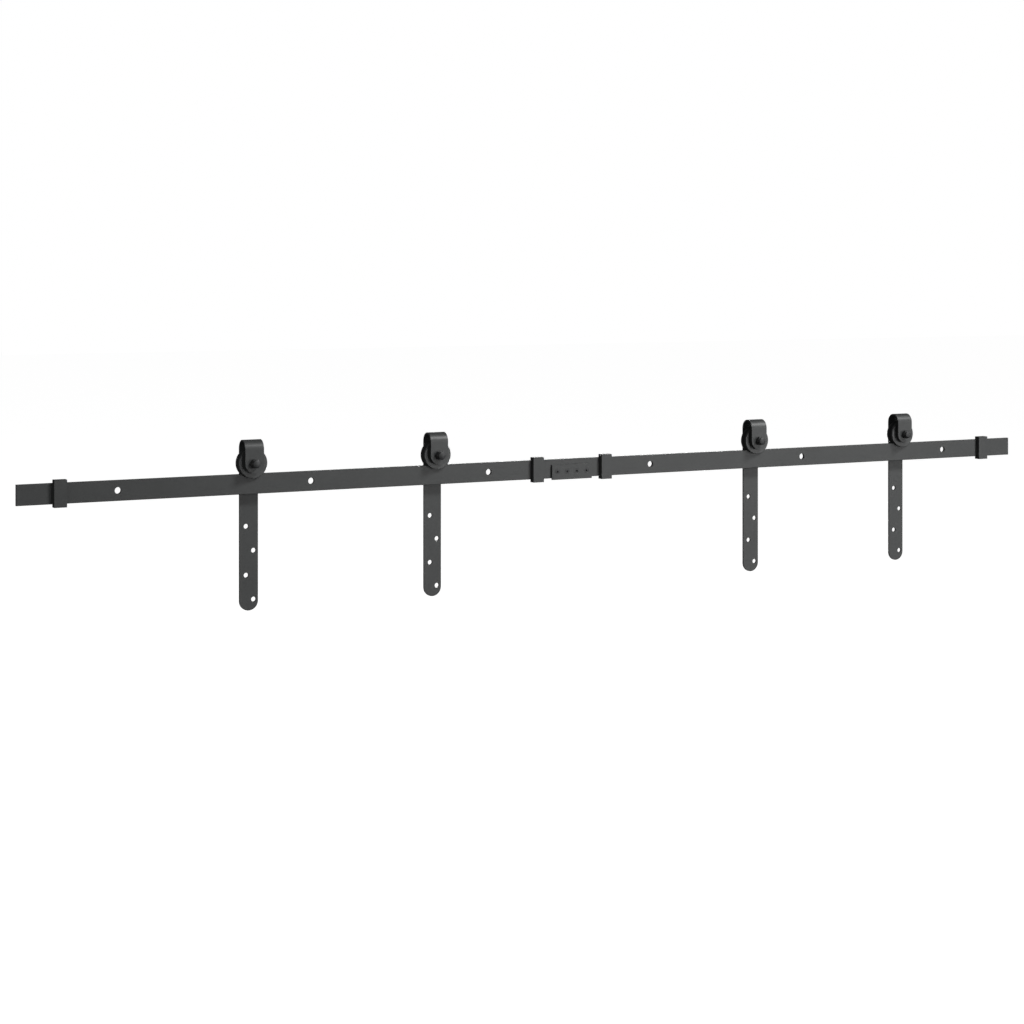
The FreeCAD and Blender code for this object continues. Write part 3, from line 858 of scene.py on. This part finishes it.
def nut_mesh(number):
    """The cap nut: a chamfered hexagon, a smooth dome and a tapped hole in step with the bolt's thread."""
    fastener = settings().fastener
    _, end, seat = reach(f"cap_nut_{number}", number)
    thread_play = 0.05 * MM
    radius = fastener.bolt_radius + thread_play
    face = END_FACE * fastener.flats
    dome = fastener.dome_radius
    crown = fastener.crown
    shoulder = seat - fastener.hex_height
    depth = seat - fastener.thread_depth
    drill_radius = radius - 0.6 * MM
    drill_point = 1.2 * MM
    first_ridge = depth + 0.4 * MM
    last_ridge = seat - 0.5 * MM
    mouth = radius + 0.4 * MM
    soft = 1.2 * MM
    low = math.acos((dome - soft) / (crown - soft))
    round_edge = arc((dome - soft, end + crown - (crown - soft) * math.sin(low)), soft, 0, -low, steps=5)
    across = [low + (TURN / 4 - low) * step / 8 for step in range(1, 8)]
    rows = [(0, depth - drill_point), (drill_radius, depth)]
    rows += tapped(radius, fastener.bolt_pitch, first_ridge, last_ridge)
    rows += [
        (mouth, seat),
        (face, seat),
        hexagon_chamfer(fastener.flats, seat, 1, face),
        hexagon_chamfer(fastener.flats, shoulder, -1, face),
        (face, shoulder),
        (dome, shoulder),
    ]
    rows += round_edge
    rows += [(crown * math.cos(a), end + crown - crown * math.sin(a)) for a in across]
    rows += [(0, end)]
    return skin(f"domed_nut_{number}", rows, HEXAGON_COLUMNS)


def socket_rows(flats, depth, rim):
    """Rings of a hexagon socket sunk from height 0, with a drilled point below and a cone at its mouth."""
    drill_point = 0.45 * MM
    drill_radius = flats / 2 - 0.05 * MM
    return [
        (0, -depth - drill_point),
        (drill_radius, -depth),
        hexagon_side(flats, -depth),
        hexagon_chamfer(flats, 0, 1, rim),
        (rim, 0),
    ]


def screw_thread(end, top):
    """Rings of a screw's thread from just under its top down to its end."""
    fastener = settings().fastener
    tip_chamfer = 0.55 * MM
    below = 0.05 * MM
    tip = fastener.screw_radius - tip_chamfer
    return thread(fastener.screw_radius, fastener.screw_pitch, end, top - below, tip)[::-1]


def countersunk_mesh(name, head_radius, head_height, end):
    """A countersunk screw with a hexagon socket, from its head's top at height 0 down to its end."""
    fastener = settings().fastener
    radius = fastener.screw_radius
    rim = SOCKET_MOUTH * fastener.socket
    brim = 0.2 * MM
    neck = -head_height - 0.25 * MM
    head = [
        (rim, 0),
        (head_radius, 0, 0.12 * MM),
        (head_radius, -brim, 0.1 * MM),
        (radius, -head_height, 0.2 * MM),
        (radius, neck),
    ]
    rows = socket_rows(fastener.socket, fastener.socket_depth, rim)
    rows += rounded(head, steps=3)[1:]
    rows += screw_thread(end, neck)
    rows += [(0, end)]
    return skin(name, rows, SCREW_COLUMNS)


def set_screw_mesh(name, end):
    """A set screw: thread over its whole length, a hexagon socket at height 0 and a flat point at its end."""
    fastener = settings().fastener
    rim = SOCKET_MOUTH * fastener.socket
    top_radius = fastener.screw_radius - 0.5 * MM
    rows_in_chamfer = 4
    rows = socket_rows(fastener.socket, fastener.socket_depth, rim)
    rows += [(top_radius, 0)]
    rows += screw_thread(end, 0)[rows_in_chamfer:]
    rows += [(0, end)]
    return skin(name, rows, SCREW_COLUMNS)


# Operators


class TRACK_OT_coat_bars(Operator):
    """Powder-coats the bars, the plate, the stops and the straps, and softens their edges"""

    bl_idname = "track.coat_bars"
    bl_label = "Coat Bars, Stops and Straps"

    def execute(self, context):
        radius = context.scene.track.coat.edge_radius
        names = ["rail_left", "rail_right", "connector_plate"]
        names += [f"stop_block_{number}" for number in STOPS]
        names += [f"hanger_strap_{number}" for number in HANGERS]
        for name in names:
            coat(name, radius)
        return {"FINISHED"}


class TRACK_OT_turn_wheels(Operator):
    """Turns the four wheels"""

    bl_idname = "track.turn_wheels"
    bl_label = "Turn Wheels"

    def execute(self, context):
        for number in HANGERS:
            add(wheel_mesh(number), f"wheel_{number}", on_axle(number))
        return {"FINISHED"}


class TRACK_OT_build_bearings(Operator):
    """Grinds the bearing rings, presses cages and shields, and polishes the balls"""

    bl_idname = "track.build_bearings"
    bl_label = "Build Bearings"

    def execute(self, context):
        for number in HANGERS:
            place = on_axle(number)
            add(outer_ring_mesh(number), f"bearing_outer_ring_{number}", place)
            add(inner_ring_mesh(number), f"bearing_inner_ring_{number}", place)
            add(shield_mesh(number), f"bearing_shields_{number}", place)
            add(cage_mesh(number), f"bearing_cage_{number}", place)
            coat(f"bearing_balls_{number}")
        return {"FINISHED"}


class TRACK_OT_turn_rings(Operator):
    """Turns the spacer sleeves and stamps the washers"""

    bl_idname = "track.turn_rings"
    bl_label = "Turn Spacers and Washers"

    def execute(self, context):
        bolt = context.scene.track.fastener.bolt_radius
        kinds = (
            ("turned", "spacers", bolt + SLIDE_FIT, 0.25 * MM),
            ("stamped", "washers", bolt + 0.2 * MM, 0.15 * MM),
        )
        for number in HANGERS:
            for made, kind, bore, soft in kinds:
                pair = f"{kind}_{number}"
                add(both_sides(f"{made}_{pair}", number, pair, bore, soft), pair, on_axle(number))
        return {"FINISHED"}


class TRACK_OT_cut_axle_bolts(Operator):
    """Makes the axle bolts and the cap nuts"""

    bl_idname = "track.cut_axle_bolts"
    bl_label = "Make Axle Bolts and Cap Nuts"

    def execute(self, context):
        for number in HANGERS:
            add(bolt_mesh(number), f"axle_bolt_{number}", on_axle(number))
            add(nut_mesh(number), f"cap_nut_{number}", on_axle(number))
        return {"FINISHED"}


class TRACK_OT_cut_screws(Operator):
    """Makes the four connector screws and the stops' set screws"""

    bl_idname = "track.cut_screws"
    bl_label = "Make Screws"

    def execute(self, context):
        name = "countersunk_screws"
        count = 4
        head_height = 2.4 * MM
        low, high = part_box("connector_screws")
        head_radius = (high.z - low.z) / 2
        first = low.x + head_radius
        last = high.x - head_radius
        screws = []
        for place in range(count):
            screw = countersunk_mesh(name, head_radius, head_height, low.y - high.y)
            screw.transform(TO_THE_WALL)
            screw.transform(Matrix.Translation((first + (last - first) * place / (count - 1), 0, 0)))
            screws.append(screw)
        add(joined(name, screws), "connector_screws", Matrix.Translation((0, low.y, (low.z + high.z) / 2)))
        for number in STOPS:
            low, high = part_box(f"stop_screw_{number}")
            middle = (low + high) / 2
            place = Matrix.Translation((middle.x, middle.y, low.z)) @ DOWNWARDS
            add(set_screw_mesh(f"set_screw_{number}", low.z - high.z), f"stop_screw_{number}", place)
        return {"FINISHED"}


class TRACK_OT_light_studio(Operator):
    """Lays the pale floor, hangs the soft lights and places the camera"""

    bl_idname = "track.light_studio"
    bl_label = "Light the Studio"

    def execute(self, context):
        studio = context.scene.track.studio
        context.scene.view_settings.view_transform = "Standard"
        lay_floor(studio)
        dim_room(context.scene, studio)
        for name, (place, size) in LIGHTS.items():
            hang_light(name, place, size, getattr(studio, name))
        place_camera(context.scene, studio)
        return {"FINISHED"}


# Studio


def lay_floor(studio):
    """A plain pale floor under the track, too large for its edge to show."""
    shape = bmesh.new()
    bmesh.ops.create_grid(shape, x_segments=8, y_segments=8, size=studio.floor_size / 2)
    floor = bpy.data.objects.new("floor", mesh_of("floor", shape))
    bpy.context.scene.collection.objects.link(floor)
    floor.location.z = -studio.floor_drop
    floor.visible_diffuse = False
    floor.visible_glossy = False
    material, tree, shader = new_finish("pale_floor", metallic=0.0)
    clouds = grain(tree, own_place(tree), size=0.4)
    pale = (0.86, 0.86, 0.86)
    tree.links.new(shaded(tree, clouds, pale, variation=0.02), shader.inputs["Base Color"])
    shader.inputs["Roughness"].default_value = 0.9
    shader.inputs["Emission Color"].default_value = (1, 1, 1, 1)
    shader.inputs["Emission Strength"].default_value = 0.95
    floor.data.materials.append(material)


def dim_room(scene, studio):
    """White behind the track, and a dim room for the metal to reflect."""
    world = bpy.data.worlds.new("room")
    scene.world = world
    world.use_nodes = True
    tree = world.node_tree
    seen = node(tree, "ShaderNodeBackground", {"Color": (1, 1, 1, 1), "Strength": 1.0})
    lit = node(tree, "ShaderNodeBackground", {"Color": (1, 1, 1, 1), "Strength": studio.room})
    straight = node(tree, "ShaderNodeLightPath").outputs["Is Camera Ray"]
    values = {0: straight, 1: lit.outputs["Background"], 2: seen.outputs["Background"]}
    both = node(tree, "ShaderNodeMixShader", values)
    tree.links.new(both.outputs["Shader"], tree.nodes["World Output"].inputs["Surface"])


def hang_light(name, place, size, power):
    """A square soft light that faces the middle of the track."""
    lamp = bpy.data.lights.new(name, "AREA")
    lamp.shape = "SQUARE"
    lamp.size = size
    lamp.energy = power
    light = bpy.data.objects.new(name, lamp)
    bpy.context.scene.collection.objects.link(light)
    light.location = place
    light.rotation_euler = (-Vector(place)).to_track_quat("-Z", "Y").to_euler()


def place_camera(scene, studio):
    """A level camera in front of the track's wall side, to the left and a little above."""
    camera = bpy.data.objects.new("camera", bpy.data.cameras.new("camera"))
    scene.collection.objects.link(camera)
    camera.location = studio.eye
    camera.rotation_euler = (TURN / 4, 0, -studio.heading)
    camera.data.lens = studio.lens
    camera.data.sensor_width = 36
    camera.data.shift_y = studio.rise
    camera.data.clip_end = 100
    scene.camera = camera


class TRACK_PT_tools(Panel):
    """The track's settings and the steps that build it"""

    bl_idname = "TRACK_PT_tools"
    bl_label = "Sliding Door Track"
    bl_space_type = "VIEW_3D"
    bl_region_type = "UI"
    bl_category = "Track"

    def draw(self, context):
        track = context.scene.track
        for group in (track.coat, track.wheel, track.bearing, track.fastener, track.studio):
            box = self.layout.box()
            for name in group.__annotations__:
                box.prop(group, name)
        for step in STEPS:
            self.layout.operator(step.bl_idname)


class TrackSettings(PropertyGroup):
    """All settings of the track."""

    coat: PointerProperty(type=CoatSettings)
    wheel: PointerProperty(type=WheelSettings)
    bearing: PointerProperty(type=BearingSettings)
    fastener: PointerProperty(type=FastenerSettings)
    studio: PointerProperty(type=StudioSettings)


STEPS = (
    TRACK_OT_light_studio,
    TRACK_OT_coat_bars,
    TRACK_OT_turn_wheels,
    TRACK_OT_build_bearings,
    TRACK_OT_turn_rings,
    TRACK_OT_cut_axle_bolts,
    TRACK_OT_cut_screws,
)
GROUPS = (CoatSettings, WheelSettings, BearingSettings, FastenerSettings, StudioSettings, TrackSettings)


def register():
    """Registers the settings, the steps and the panel."""
    for made in GROUPS + STEPS + (TRACK_PT_tools,):
        bpy.utils.register_class(made)
    bpy.types.Scene.track = PointerProperty(type=TrackSettings)


def unregister():
    """Takes the panel, the steps and the settings away again."""
    del bpy.types.Scene.track
    for made in reversed(GROUPS + STEPS + (TRACK_PT_tools,)):
        bpy.utils.unregister_class(made)


def main():
    """Builds the whole scene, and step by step."""
    register()
    for step in STEPS:
        group, name = step.bl_idname.split(".")
        getattr(getattr(bpy.ops, group), name)()
    bpy.context.view_layer.update()


if __name__ == "__main__":
    main()
